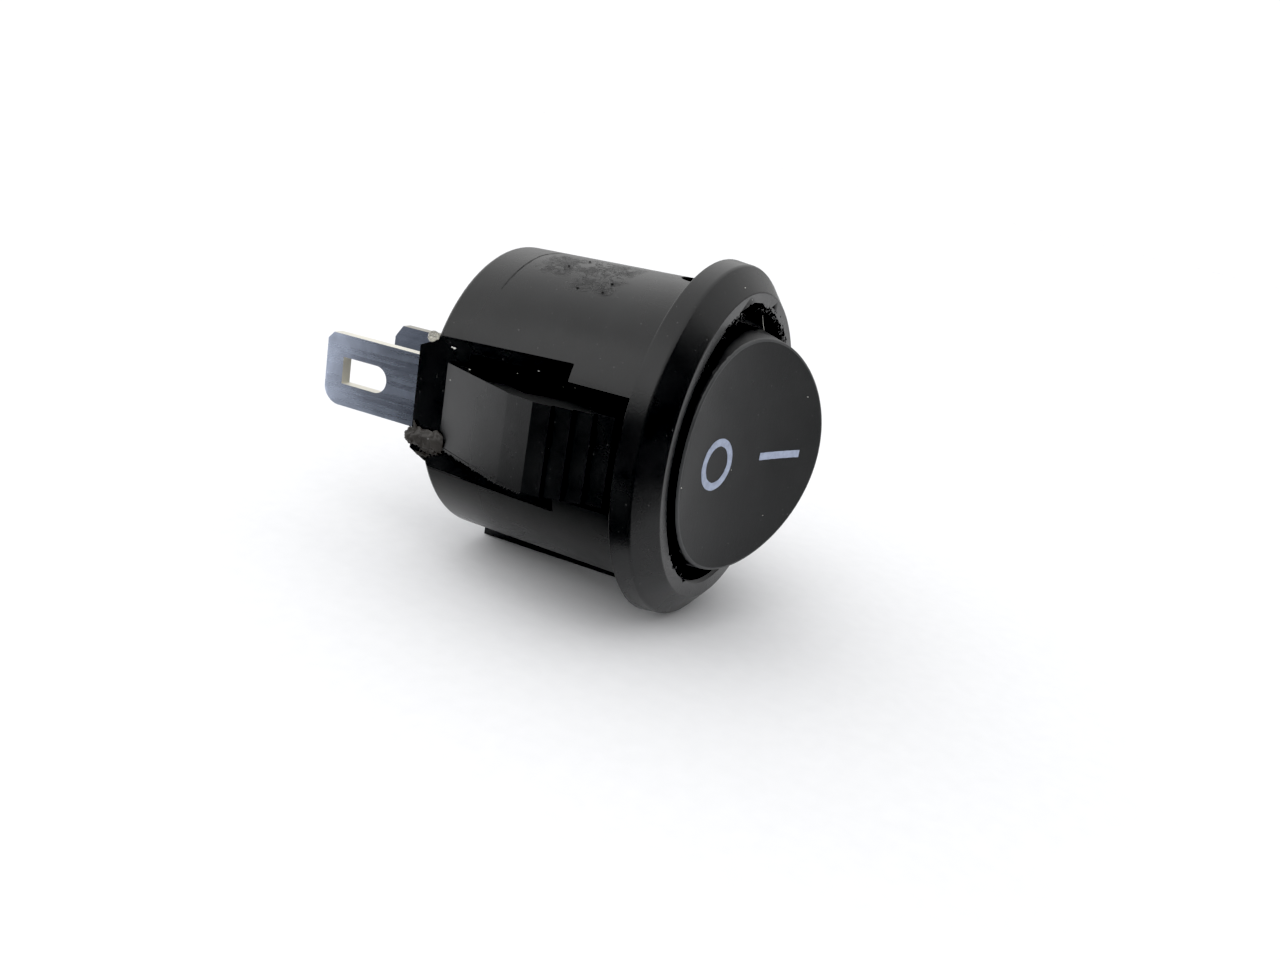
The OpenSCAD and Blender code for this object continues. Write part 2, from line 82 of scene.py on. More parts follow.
class Nodes:
    """A small helper that adds shader nodes and links them."""

    def __init__(self, name):
        self.mat = bpy.data.materials.new(name)
        self.mat.use_nodes = True
        self.tree = self.mat.node_tree
        self.tree.nodes.clear()
        self.out = self.add("ShaderNodeOutputMaterial")
        self.bsdf = self.add("ShaderNodeBsdfPrincipled")
        self.link(self.bsdf, "BSDF", self.out, "Surface")
        self.coord = self.add("ShaderNodeTexCoord")

    def add(self, kind, **values):
        n = self.tree.nodes.new(kind)
        for key, value in values.items():
            setattr(n, key, value)
        return n

    def link(self, a, out, b, inp):
        self.tree.links.new(a.outputs[out], b.inputs[inp])

    def noise(self, scale, detail=3.0, rough=0.5, stretch=None, distortion=0.0):
        n = self.add("ShaderNodeTexNoise")
        n.inputs["Scale"].default_value = scale
        n.inputs["Detail"].default_value = detail
        n.inputs["Roughness"].default_value = rough
        n.inputs["Distortion"].default_value = distortion
        self.place(n, stretch)
        return n

    def place(self, n, stretch=None):
        m = self.add("ShaderNodeMapping")
        if stretch:
            m.inputs["Scale"].default_value = stretch
        self.link(self.coord, "Object", m, "Vector")
        self.link(m, "Vector", n, "Vector")

    def ramp(self, source, output, stops, mode="LINEAR"):
        n = self.add("ShaderNodeValToRGB")
        n.color_ramp.interpolation = mode
        while len(n.color_ramp.elements) < len(stops):
            n.color_ramp.elements.new(0.5)
        for e, (pos, value) in zip(n.color_ramp.elements, stops):
            e.position = pos
            e.color = value if len(value) == 4 else (*value, 1)
        self.link(source, output, n, "Fac")
        return n

    def span(self, source, output, a, b, lo=0.0, hi=1.0):
        n = self.add("ShaderNodeMapRange")
        n.inputs["From Min"].default_value = lo
        n.inputs["From Max"].default_value = hi
        n.inputs["To Min"].default_value = a
        n.inputs["To Max"].default_value = b
        self.link(source, output, n, "Value")
        return n

    def maths(self, op, a, b):
        n = self.add("ShaderNodeMath", operation=op)
        for i, v in enumerate((a, b)):
            if isinstance(v, tuple):
                self.link(v[0], v[1], n, i)
            else:
                n.inputs[i].default_value = v
        return n

    def bump(self, height, output, distance, strength=1.0, below=None):
        n = self.add("ShaderNodeBump")
        n.inputs["Distance"].default_value = distance
        n.inputs["Strength"].default_value = strength
        self.link(height, output, n, "Height")
        if below:
            self.link(below, "Normal", n, "Normal")
        return n

    def finish(self, base=None, rough=None, bump=None, **values):
        if base:
            self.link(base[0], base[1], self.bsdf, "Base Color")
        if rough:
            self.link(rough[0], rough[1], self.bsdf, "Roughness")
        if bump:
            self.link(bump, "Normal", self.bsdf, "Normal")
        for key, value in values.items():
            self.bsdf.inputs[key.replace("_", " ")].default_value = value
        return self.mat


BLACK, WHITE = (0, 0, 0), (1, 1, 1)


def grey(v, tint=0.0):
    return (v * (1 - tint), v, v * (1 + tint), 1)


def window(n, source, output, low, high, soft):
    """1 between low and high, fading to 0 over soft on each side."""
    up = n.span(source, output, 0, 1, low - soft, low + soft)
    down = n.span(source, output, 1, 0, high - soft, high + soft)
    for m in (up, down):
        m.interpolation_type = "SMOOTHSTEP"
    return n.maths("MULTIPLY", (up, "Result"), (down, "Result"))


def scuffed_patch(n, fade_deg=2.5, fade_mm=0.5):
    """A mask over the top of the barrel, where the plastic is scraped and flaked."""
    sep = n.add("ShaderNodeSeparateXYZ")
    n.link(n.coord, "Object", sep, "Vector")
    left = n.maths("MULTIPLY", (sep, "X"), -1.0)
    angle = n.maths("ARCTAN2", (sep, "Z"), (left, "Value"))
    turn = math.radians
    total = None
    for a0, a1, y0, y1 in SCUFFS:
        across = window(n, angle, "Value", turn(a0), turn(a1), turn(fade_deg))
        along = window(n, sep, "Y", y0 * MM, y1 * MM, fade_mm * MM)
        one = n.maths("MULTIPLY", (across, "Value"), (along, "Value"))
        total = n.maths("MAXIMUM", (total, "Value"), (one, "Value")) if total else one
    return total


def scrape(n, rough, bump):
    """A plastic's roughness and bump, with the scraped patch added."""
    mask = scuffed_patch(n)
    torn = n.noise(750, 4, 0.7, distortion=1.2)
    broken = n.ramp(torn, "Fac", [(0.44, BLACK), (0.53, WHITE)])
    mask = n.maths("MULTIPLY", (mask, "Value"), (broken, "Color"))
    flake = n.noise(1900, 6, 0.66, distortion=2.4)
    crisp = n.ramp(flake, "Fac", [
        (0.47, BLACK), (0.51, WHITE), (0.60, (0.4, 0.4, 0.4)), (0.63, WHITE)])
    high = n.maths("MULTIPLY", (crisp, "Color"), (mask, "Value"))
    duller = n.maths("MULTIPLY", (mask, "Value"), 0.10)
    return (n.maths("ADD", (rough, "Value"), (duller, "Value")),
            n.bump(high, "Value", 0.07 * MM, 0.9, bump))


def moulded_black(name, level, rough, grain, tint=0.03, spec=0.5, scuffs=False):
    """Matt black moulded plastic: fine grain, slow mottling, hairline scratches and dust.

    level is the base grey, and grain is the fine grain's depth in millimetres.
    """
    n = Nodes(name)
    fine = n.noise(9000, 4, 0.6)
    slow = n.noise(420, 4, 0.55)
    cloud = n.noise(110, 3, 0.5, distortion=0.6)
    scratch = n.noise(900, 2, 0.4, stretch=(5, 0.35, 5))
    dust = n.noise(5200, 1, 0.3)
    colour = n.ramp(slow, "Fac", [
        (0.3, grey(level * 0.75, tint)), (0.55, grey(level, tint)),
        (0.8, grey(level * 1.35, tint))])
    dusty = n.ramp(dust, "Fac", [(0.775, BLACK), (0.80, WHITE)])
    mix = n.add("ShaderNodeMix", data_type="RGBA", blend_type="MIX")
    n.link(dusty, "Color", mix, "Factor")
    n.link(colour, "Color", mix, "A")
    mix.inputs["B"].default_value = grey(level * 3 + 0.02)
    line = n.ramp(scratch, "Fac", [(0.62, BLACK), (0.7, WHITE)])
    r1 = n.span(cloud, "Fac", rough - 0.07, rough + 0.09, 0.3, 0.7)
    shine = n.maths("MULTIPLY", (line, "Color"), 0.03)
    r2 = n.maths("SUBTRACT", (r1, "Result"), (shine, "Value"))
    b1 = n.bump(fine, "Fac", grain * MM)
    b2 = n.bump(slow, "Fac", 0.012 * MM, 0.6, b1)
    b3 = n.bump(line, "Color", 0.001 * MM, 0.5, b2)
    if scuffs:
        r2, b3 = scrape(n, r2, b3)
    return n.finish((mix, "Result"), (r2, "Value"), b3, Specular_IOR_Level=spec)


def tinned_metal(name, base, rough, along):
    """Rolled and plated strip: lengthwise draw lines, scuffs and slightly dulled patches."""
    n = Nodes(name)
    stretch = tuple(0.06 if a else 1.6 for a in along)
    lines = n.noise(1500, 4, 0.6, stretch=stretch)
    hair = n.noise(5200, 3, 0.5, stretch=stretch)
    stain = n.noise(360, 4, 0.6, distortion=0.4)
    dark = tuple(c * 0.72 for c in base)
    colour = n.ramp(stain, "Fac", [(0.3, dark), (0.62, base)])
    r1 = n.span(lines, "Fac", rough - 0.05, rough + 0.09, 0.3, 0.7)
    b1 = n.bump(lines, "Fac", 0.0035 * MM)
    b2 = n.bump(hair, "Fac", 0.002 * MM, 0.8, b1)
    return n.finish((colour, "Color"), (r1, "Result"), b2, Metallic=1.0, Anisotropic=0.45)


def simple_worn(name, base, rough, metallic, grain=0.004, scale=2600):
    """A plain worn surface: slow mottling and a fine grain."""
    n = Nodes(name)
    fine = n.noise(scale, 3, 0.6)
    slow = n.noise(500, 3, 0.5)
    colour = n.ramp(slow, "Fac", [(0.3, tuple(c * 0.82 for c in base)), (0.7, base)])
    r1 = n.span(fine, "Fac", rough - 0.06, rough + 0.1, 0.3, 0.7)
    bump = n.bump(fine, "Fac", grain * MM)
    return n.finish((colour, "Color"), (r1, "Result"), bump, Metallic=metallic)


LENGTHWISE_Y, LENGTHWISE_X = (False, True, False), (True, False, False)

HOUSING = moulded_black(
    "housing_plastic", level=0.0085, rough=0.26, grain=0.0065, spec=0.42, scuffs=True)
TORN = moulded_black("torn_plastic", level=0.034, rough=0.46, grain=0.02, tint=-0.09)
ROCKER = moulded_black(
    "rocker_plastic", level=0.0065, rough=0.34, grain=0.007, tint=0.06, spec=0.24)
# A lighter grey for the rounded rim of the rocker's face: a painted highlight along the rim.
ROCKER_RIM_HIGHLIGHT = moulded_black("rocker_rim_highlight", level=0.045, rough=0.45, grain=0.007)
BLADE = tinned_metal("tinned_blade", (0.55, 0.61, 0.75), 0.27, LENGTHWISE_Y)
# A much darker copy of the same tinned metal, for the far blade: painted shade.
SHADED_BLADE = tinned_metal("shaded_blade", (0.13, 0.145, 0.18), 0.26, LENGTHWISE_Y)
LEVER = tinned_metal("bronze_lever", (0.86, 0.55, 0.33), 0.32, LENGTHWISE_X)
SILVER = simple_worn("contact_silver", (0.86, 0.86, 0.82), rough=0.28, metallic=1.0)
EDGE = simple_worn("sheared_edge", (0.80, 0.78, 0.70), rough=0.50, metallic=0.55)
# A darker copy of the sheared edge, for the far blade's edges: painted shade.
SHADED_EDGE = simple_worn("shaded_sheared_edge", (0.40, 0.39, 0.35), rough=0.50, metallic=0.55)
SPRING = simple_worn("spring_wire", (0.62, 0.63, 0.66), rough=0.3, metallic=1.0)
NYLON = simple_worn("plunger_nylon", (0.82, 0.80, 0.72), rough=0.42, metallic=0.0)


def ink_material():
    n = Nodes("printed_ink")
    slow = n.noise(2600, 4, 0.6)
    fine = n.noise(9000, 2, 0.5)
    colour = n.ramp(slow, "Fac", [(0.25, (0.26, 0.295, 0.41)), (0.6, (0.385, 0.44, 0.575))])
    r1 = n.span(fine, "Fac", 0.4, 0.6, 0.3, 0.7)
    return n.finish((colour, "Color"), (r1, "Result"), n.bump(fine, "Fac", 0.006 * MM))


INK = ink_material()


def pale_material(name, base, rough, clear=0.0):
    """Dust and resin: pale, faintly mottled and slightly see-through."""
    n = Nodes(name)
    slow = n.noise(3000, 3, 0.6)
    colour = n.ramp(slow, "Fac", [(0.3, tuple(c * 0.75 for c in base)), (0.7, base)])
    r1 = n.span(slow, "Fac", rough - 0.05, rough + 0.1, 0.3, 0.7)
    bump = n.bump(slow, "Fac", 0.01 * MM)
    return n.finish((colour, "Color"), (r1, "Result"), bump, Transmission_Weight=clear)


RESIN = pale_material("clear_resin", (0.66, 0.64, 0.56), rough=0.12, clear=0.75)
DUST = pale_material("pale_dust", (0.62, 0.62, 0.58), rough=0.7)


def assign(obj, mat):
    obj.data.materials.clear()
    obj.data.materials.append(mat)


for node, mat in (
    ("plunger", NYLON), ("contact_lever", LEVER), ("moving_contact", SILVER),
    ("fixed_contact", SILVER),
):
    assign(nodes[node], mat)
    for p in nodes[node].data.polygons:
        p.material_index = 0


# ---------------------------------------------------------------- meshes


def new_object(name, bm, mat, smooth_deg=35, second=None):
    mesh = bpy.data.meshes.new(name)
    bm.to_mesh(mesh)
    bm.free()
    mesh.materials.append(mat)
    if second:
        mesh.materials.append(second)
    for p in mesh.polygons:
        p.use_smooth = True
        if not second:
            p.material_index = 0
    mesh.set_sharp_from_angle(angle=math.radians(smooth_deg))
    obj = bpy.data.objects.new(name, mesh)
    bpy.context.scene.collection.objects.link(obj)
    return obj


def welded_copy(node):
    """A CAD node's mesh with its split vertices joined and its flat faces merged."""
    bm = bmesh.new()
    bm.from_mesh(nodes[node].data)
    bmesh.ops.remove_doubles(bm, verts=bm.verts, dist=0.0005 * MM)
    bmesh.ops.dissolve_degenerate(bm, dist=0.0005 * MM, edges=bm.edges)
    bmesh.ops.dissolve_limit(bm, angle_limit=math.radians(0.3), verts=bm.verts, edges=bm.edges)
    bm.normal_update()
    return bm


def soften(bm, width, segments, chosen):
    """Rounds the chosen edges, with the width in millimetres."""
    bmesh.ops.bevel(
        bm, geom=chosen, offset=width * MM, offset_type="OFFSET", segments=segments,
        profile=0.5, affect="EDGES", clamp_overlap=True, loop_slide=True,
    )


def sharp_edges(bm, least_deg, least_len):
    least = math.radians(least_deg)
    return [e for e in bm.edges if len(e.link_faces) == 2 and e.calc_face_angle(0) > least
            and e.calc_length() > least_len * MM]


def to_rocker(co):
    """Row frame to the rocker's own frame, in millimetres."""
    p = Vector((co.x / MM, co.y / MM - PIVOT_Y, co.z / MM))
    c, s = math.cos(-TILT), math.sin(-TILT)
    return Vector((p.x * c - p.y * s, p.x * s + p.y * c, p.z))


def from_rocker(u, v, w):
    c, s = math.cos(TILT), math.sin(TILT)
    return Vector(((u * c - v * s) * MM, (u * s + v * c + PIVOT_Y) * MM, w * MM))


def face_height(u):
    return -FACE_V - FACE_CURVE_R + math.sqrt(FACE_CURVE_R ** 2 - u * u)


def polar(deg, r, y):
    """A point on the barrel's surface: deg is measured from -X towards +Z."""
    a = math.radians(deg)
    return Vector((-r * math.cos(a), y, r * math.sin(a)))


def barrel_radius(y):
    return BARREL_R - BARREL_DRAFT * y / BARREL_LEN


def blob(bm, centre, radii, seed, rough=0.22, freq=2.2, level=3):
    """A rough ball of plastic, with its centre and radii in millimetres."""
    made = bmesh.ops.create_icosphere(bm, subdivisions=level, radius=1.0)["verts"]
    for v in made:
        d = v.co.normalized()
        k = 1 + rough * noise.noise(d * freq + Vector((seed, 0, 0))) \
            + rough * 0.5 * noise.noise(d * freq * 2.7 + Vector((0, seed, 0)))
        out = Vector((d.x * radii[0], d.y * radii[1], d.z * radii[2]))
        v.co = (Vector(centre) + out * k) * MM


def spike(bm, base, tip, r):
    """A small burr: a cone from base to tip, in millimetres."""
    base, tip = Vector(base), Vector(tip)
    turn = (tip - base).to_track_quat("Z", "Y").to_matrix().to_4x4()
    made = bmesh.ops.create_cone(
        bm, cap_ends=True, segments=6, radius1=r * MM, radius2=r * 0.15 * MM,
        depth=(tip - base).length * MM)
    place = Matrix.Translation((base + tip) / 2 * MM) @ turn
    bmesh.ops.transform(bm, matrix=place, verts=made["verts"])


def skin(bm, rows):
    """Joins rings of vertices into a tube with closed ends."""
    count = len(rows[0])
    for a, b in zip(rows, rows[1:]):
        for j in range(count):
            k = (j + 1) % count
            bm.faces.new((a[j], b[j], b[k], a[k]))
    bm.faces.new(rows[0])
    bm.faces.new(rows[-1][::-1])


def ragged_strip(bm, path, outward, normal, reach, thick, seed, freq=5.0):
    """Moulding flash along a path: it stands out by up to reach millimetres, with a torn edge."""
    o, n = Vector(outward), Vector(normal)
    rows = []
    for i, p in enumerate(path):
        h = 0.5 + 0.75 * noise.noise(Vector((i * 0.11 * freq, seed, 0))) \
            + 0.45 * noise.noise(Vector((i * 0.41 * freq, seed, 3)))
        h = reach * min(1.0, max(0.0, h))
        rows.append([bm.verts.new((p + q) * MM) for q in (
            -o * 0.03 - n * thick, -o * 0.03 + n * thick * 0.2,
            o * h + n * thick * 0.1, o * h - n * thick * 0.5)])
    skin(bm, rows)


def line_points(a, b, count):
    a, b = Vector(a), Vector(b)
    return [a + (b - a) * i / (count - 1) for i in range(count)]


def groove(bm, first, last, height_at, width, depth, steps=72):
    """A closed bar along the barrel's surface; cut away, it leaves a fine mould line."""
    above = 0.08
    rows = []
    for i in range(steps + 1):
        t = i / steps
        deg = first + (last - first) * t
        y = height_at(t)
        r = barrel_radius(y)
        thin = math.sin(math.pi * min(1, t * 8 + 0.05, (1 - t) * 8 + 0.05) / 2)
        rows.append([bm.verts.new(polar(deg, r + dr, y + dy) * MM) for dy, dr in (
            (-width / 2, above), (width / 2, above), (0.0, -depth * thin))])
    skin(bm, rows)


def upper_line(t):
    """The y of the mould line over the barrel's top, which bends near its end."""
    return 12.03 - 0.75 * max(0.0, (t - 0.62) / 0.38) ** 2


def lower_line(t):
    return 11.9 - 0.4 * t


# Where the opening's edge is broken: the angle from +Z towards -X, and the radius reached there
BROKEN_EDGE = (
    (34, 8.9), (30, 9.05), (25, 8.98), (21, 8.86), (17, 8.98), (13, 9.05), (7, 9.06),
    (2, 8.96), (-2, 9.02), (-10, 8.96), (-19, 8.86), (-27, 8.86), (-35, 8.92), (-43, 9.08),
    (-48, 9.02),
)
BITES_PER_STEP = 3
FINE_BITES = 34
FINE_EDGE_R = 9.08

# Small chips low on the opening's edge: the angle from -X towards +Z, and the radius
LOW_CHIPS = ((-37, 0.22), (-41, 0.16), (-46, 0.24), (-53, 0.14), (-62, 0.20))


def chip_cutters():
    """Bites out of the opening's broken edge, and the grooves of two fine mould lines."""
    rng = random.Random(11)
    bm = bmesh.new()
    for (a0, r0), (a1, r1) in zip(BROKEN_EDGE, BROKEN_EDGE[1:]):
        for j in range(BITES_PER_STEP):
            t = j / BITES_PER_STEP
            r = r0 + (r1 - r0) * t + rng.uniform(0.03, 0.19)
            size = max(0.10, (r - OPENING_R) * rng.uniform(0.75, 1.25) + 0.05)
            deg = 90 - (a0 + (a1 - a0) * t) + rng.uniform(-0.8, 0.8)
            c = polar(deg, r - size, -BEZEL_T + rng.uniform(0.0, 0.2))
            radii = (size * rng.uniform(0.8, 1.2), rng.uniform(0.5, 0.9), size)
            blob(bm, c, radii, j + a0 * 3.1, 0.5, 2.6, 3)
    for k in range(FINE_BITES):
        a = rng.uniform(-46, 33)
        size = rng.uniform(0.035, 0.075)
        c = polar(90 - a, FINE_EDGE_R + abs(rng.gauss(0, 0.09)), -BEZEL_T)
        blob(bm, c, (size, size * 3, size), k, 0.5, 2.4, 2)
    for deg, size in LOW_CHIPS:
        c = polar(deg, OPENING_R + 0.12, -BEZEL_T + 0.05)
        blob(bm, c, (size, size, size), deg, 0.45, 2.2, 2)
    groove(bm, 50, 92, upper_line, 0.19, 0.17)
    groove(bm, 231, 262, lower_line, 0.14, 0.12)
    bmesh.ops.recalc_face_normals(bm, faces=bm.faces)
    return new_object("chips", bm, HOUSING)


def bake(obj):
    """The object's mesh with its modifiers applied."""
    bpy.context.view_layer.update()
    graph = bpy.context.evaluated_depsgraph_get()
    mesh = bpy.data.meshes.new_from_object(
        obj.evaluated_get(graph), preserve_all_data_layers=True, depsgraph=graph)
    obj.modifiers.clear()
    obj.data = mesh


BIG_FACE = 0.12
CREST_X = 11.5
CREST_NORMAL = (0.925, 0.38)


def even_normals(obj, guide=None):
    """Large flat faces keep their own normals; guide gives the true normal of turned surfaces."""
    bm = bmesh.new()
    bm.from_mesh(obj.data)
    for e in bm.edges:
        if len(e.link_faces) == 2 \
                and min(f.calc_area() for f in e.link_faces) > BIG_FACE * MM * MM \
                and e.calc_face_angle(0) > math.radians(7):
            e.smooth = False
    bm.to_mesh(obj.data)
    bm.free()
    mod = obj.modifiers.new("weighted", "WEIGHTED_NORMAL")
    mod.mode = "FACE_AREA"
    mod.weight = 100
    mod.keep_sharp = True
    bake(obj)
    if guide:
        mesh = obj.data
        given = [Vector(c.vector) for c in mesh.corner_normals]
        for face in mesh.polygons:
            for i in face.loop_indices:
                true = guide(mesh.vertices[mesh.loops[i].vertex_index].co / MM, face.normal)
                if true:
                    given[i] = true
        mesh.normals_split_custom_set(given)


def turned_normal(p, flat):
    """The normal of the housing's turned surfaces at a point in millimetres."""
    r = math.hypot(p.x, p.z)
    if r < 1:
        return None
    if abs(p.x) > CREST_X and abs(flat.x) > 0.95 and 0.12 < flat.y < 0.32:
        # the wing's crest is rolled softly into its ramp
        return Vector((math.copysign(CREST_NORMAL[0], flat.x), CREST_NORMAL[1], 0))
    near, least_dot = 0.03, 0.992
    out = Vector((p.x / r, 0, p.z / r))
    for y0, y1, r0, r1 in TURNED:
        at_y = r0 + (r1 - r0) * (p.y - y0) / (y1 - y0)
        if y0 - 0.01 <= p.y <= y1 + 0.01 and abs(r - at_y) < near:
            n = (out * (y1 - y0) + Vector((0, r0 - r1, 0))).normalized()
            if n.dot(flat) > least_dot:
                return n
    if abs(r - OPENING_R) < near and -out.dot(flat) > least_dot:
        return -out
    return None


def cut(obj, tool):
    mod = obj.modifiers.new("cut", "BOOLEAN")
    mod.operation = "DIFFERENCE"
    mod.solver = "MANIFOLD"
    mod.object = tool
    bake(obj)
    bpy.data.objects.remove(tool)


CRUMBS = (
    (-2.83, 9.43, 9.33), (-4.99, 7.4, 8.42), (-4.96, 5.65, 8.46), (-4.0, 5.59, 8.96),
    (-1.27, 8.83, 9.68),
)
WING_EDGE_Z = -2.66

# Burrs in the gap on the O side: the angle from -X towards +Z, radius, y and size
BURRS = (
    (37, 8.70, -2.30, 0.15), (40, 8.74, -2.36, 0.11), (34, 8.76, -2.30, 0.10),
    (-40, 8.76, -2.38, 0.10), (-50, 8.74, -2.36, 0.12), (-58, 8.76, -2.38, 0.09),
)
HAIRS = 46


def add_crumbs(bm, rng):
    """Little crumbs on the scraped patch."""
    for x, y, z in CRUMBS:
        r = rng.uniform(0.045, 0.075)
        blob(bm, (x, y, z), (r, r * 1.3, r), x * 7, 0.4, 2.0, 2)


def add_wing_flash(bm):
    """Flash along the lower edge of each wing, down the ramp and over the crest."""
    z = WING_EDGE_Z
    for side in (-1, 1):
        path = line_points((side * 8.98, 13.1, z), (side * 11.93, 7.10, z), 120) \
            + line_points((side * 11.97, 7.0, z), (side * 12.33, 5.2, z), 24)
        reach = 0.26 if side < 0 else 0.08
        ragged_strip(bm, path, (0, 0, -1), (side * 0.895, 0.445, 0), reach, 0.10, 4 + side, 16.0)


def add_flat_flash(bm):
    """Flash along the upper and lower edges of the barrel's two flats."""
    heights = [5.0 + 9.2 * i / 160 for i in range(161)]
    edge = [math.sqrt(max(barrel_radius(y) ** 2 - FLAT_X ** 2, 0.01)) for y in heights]
    for side in (-1, 1):
        for up in (-1, 1):
            path = [Vector((side * FLAT_X, y, up * z)) for y, z in zip(heights, edge)]
            outward = (side * 0.9, 0, up * 0.44)
            ragged_strip(bm, path, outward, (0, 0, up), 0.07, 0.05, 20 + side * 2 + up)


def add_burrs(bm):
    for deg, r, y, size in BURRS:
        blob(bm, polar(deg, r, y), (size, size, size * 1.4), deg, 0.4, 2.2, 2)


def add_hairs(bm, rng):
    """Fine hairs of plastic in the chipped part of the opening."""
    for _ in range(HAIRS):
        deg = 90 + rng.uniform(-50, 46)
        r = OPENING_R + rng.uniform(-0.02, 0.1)
        base = polar(deg, r, -BEZEL_T + rng.uniform(0.0, 0.1))
        tip = polar(deg + rng.uniform(-1.6, 1.6), r - rng.uniform(0.08, 0.3),
                    -BEZEL_T - rng.uniform(-0.15, 0.12))
        spike(bm, base, tip, rng.uniform(0.025, 0.06))


def housing_damage():
    """The crumbs, flash, burrs and hairs that this switch left its mould with."""
    rng = random.Random(5)
    bm = bmesh.new()
    add_crumbs(bm, rng)
    add_wing_flash(bm)
    add_flat_flash(bm)
    add_burrs(bm)
    add_hairs(bm, rng)
    bmesh.ops.recalc_face_normals(bm, faces=bm.faces)
    return bm


# The torn gate's lobes: centre, radii, seed, roughness and the noise's frequency
LUMP = (
    ((-8.70, 13.75, -2.42), (0.44, 0.74, 0.66), 1.0, 0.24, 2.21),
    ((-8.72, 14.35, -2.44), (0.46, 0.85, 0.60), 4.0, 0.24, 2.21),
    ((-8.74, 15.00, -2.50), (0.42, 0.80, 0.56), 2.0, 0.27, 2.55),
    ((-8.76, 15.62, -2.52), (0.36, 0.52, 0.52), 3.0, 0.33, 3.06),
    ((-8.70, 14.20, -2.98), (0.30, 0.80, 0.34), 6.0, 0.45, 3.4),
    ((-8.60, 14.75, -3.52), (0.18, 0.60, 0.15), 9.0, 0.60, 4.08),
    ((-8.68, 16.02, -2.48), (0.22, 0.24, 0.24), 8.0, 0.45, 3.4),
)


def make_lump():
    """The torn gate left at the terminal block's lower corner."""
    rng = random.Random(8)
    bm = bmesh.new()
    for centre, radii, seed, rough, freq in LUMP:
        blob(bm, centre, radii, seed, rough, freq, 4)
    spike(bm, (-8.75, 15.35, -2.20), (-8.80, 15.62, -1.48), 0.24)
    spike(bm, (-8.75, 15.50, -2.25), (-8.80, 15.95, -1.90), 0.14)
    for _ in range(9):
        y = rng.uniform(13.4, 15.6)
        tip = (-8.9 - rng.uniform(0.0, 0.12), y + rng.uniform(-0.2, 0.2),
               -3.15 - rng.uniform(0.05, 0.3))
        spike(bm, (-8.85, y, -3.0), tip, rng.uniform(0.03, 0.08))
    bmesh.ops.recalc_face_normals(bm, faces=bm.faces)
    obj = new_object("gate_lump", bm, TORN, 50)
    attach(obj, "housing")


def add_mesh(bm, extra):
    """Adds extra to bm, and frees extra."""
    spare = bpy.data.meshes.new("spare")
    extra.to_mesh(spare)
    extra.free()
    bm.from_mesh(spare)
    bpy.data.meshes.remove(spare)


def make_housing():
    bm = welded_copy("housing")
    soften(bm, 0.05, 2, sharp_edges(bm, 35, 0.1))
    obj = new_object("housing_shell", bm, HOUSING, 40)
    cut(obj, chip_cutters())
    whole = bmesh.new()
    whole.from_mesh(obj.data)
    add_mesh(whole, housing_damage())
    bpy.data.objects.remove(obj)
    obj = new_object("housing_shell", whole, HOUSING, 40)
    even_normals(obj, turned_normal)
    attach(obj, "housing")
    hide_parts("housing")


RIM_ROUND = 0.17
RIM_STEPS = 6


def rim_chain(rim):
    """The rim's vertices in order, from its edges."""
    first = rim[0].verts[0]
    chain, v, used = [first], first, set()
    while True:
        step = [e for e in v.link_edges if e in rim and e not in used]
        if not step:
            break
        used.add(step[0])
        v = step[0].other_vert(v)
        if v is first:
            break
        chain.append(v)
    return chain


def rim_axes(v, along):
    """At a rim vertex: out of the face, out of the side, and back along the face and side."""
    u = to_rocker(v.co).x
    slope = -u / math.sqrt(FACE_CURVE_R ** 2 - u * u)
    c, s = math.cos(TILT), math.sin(TILT)
    face = Vector((slope * c + s, slope * s - c, 0)).normalized()
    wall = Vector((0, 0, 0))
    for f in v.link_faces:
        if f.normal.dot(face) < 0.8:
            wall += f.normal
    wall.normalize()
    inward = face.cross(along)
    if inward.dot(wall) > 0:
        inward = -inward
    back = wall.cross(along)
    if back.dot(face) > 0:
        back = -back
    return face, wall, inward, back


def rim_cutter(rim, width):
    """A closed ring that follows the rocker's rim; cut away, it leaves the edge rounded."""
    # the ring stands clear of the face and side, and overruns the round's ends by a hair
    clear, over, lift = 0.07, 0.004, 0.002
    chain = rim_chain(rim)
    count = len(chain)
    rows = []
    bm = bmesh.new()
    for i, v in enumerate(chain):
        p = v.co / MM
        along = (chain[(i + 1) % count].co - chain[i - 1].co).normalized()
        face, wall, inward, back = rim_axes(v, along)
        a, b = p + inward * width, p + back * width
        ring = [a + face * clear, a + inward * over + face * lift]
        for k in range(1, RIM_STEPS):
            t = k / RIM_STEPS
            ring.append(a * (1 - t) ** 2 + p * 2 * t * (1 - t) + b * t * t)
        ring += [b + back * over + wall * lift, b + wall * clear, p + (face + wall) * 0.1]
        rows.append([bm.verts.new(q * MM) for q in ring])
    size = len(rows[0])
    for i in range(count):
        a, b = rows[i], rows[(i + 1) % count]
        for j in range(size):
            k = (j + 1) % size
            # the faces left by the cut take the second material, the rim's painted highlight
            bm.faces.new((a[j], b[j], b[k], a[k])).material_index = 1
    bmesh.ops.recalc_face_normals(bm, faces=bm.faces)
    return new_object("rim_cutter", bm, ROCKER, 40, ROCKER_RIM_HIGHLIGHT)


def on_rim(co):
    """Whether a point lies on the edge of the rocker's face."""
    p = to_rocker(co)
    off_face = abs(p.y - face_height(min(abs(p.x), FACE_R + 0.1)))
    return off_face <= 0.03 and math.hypot(p.x, p.z) >= FACE_R - 0.2


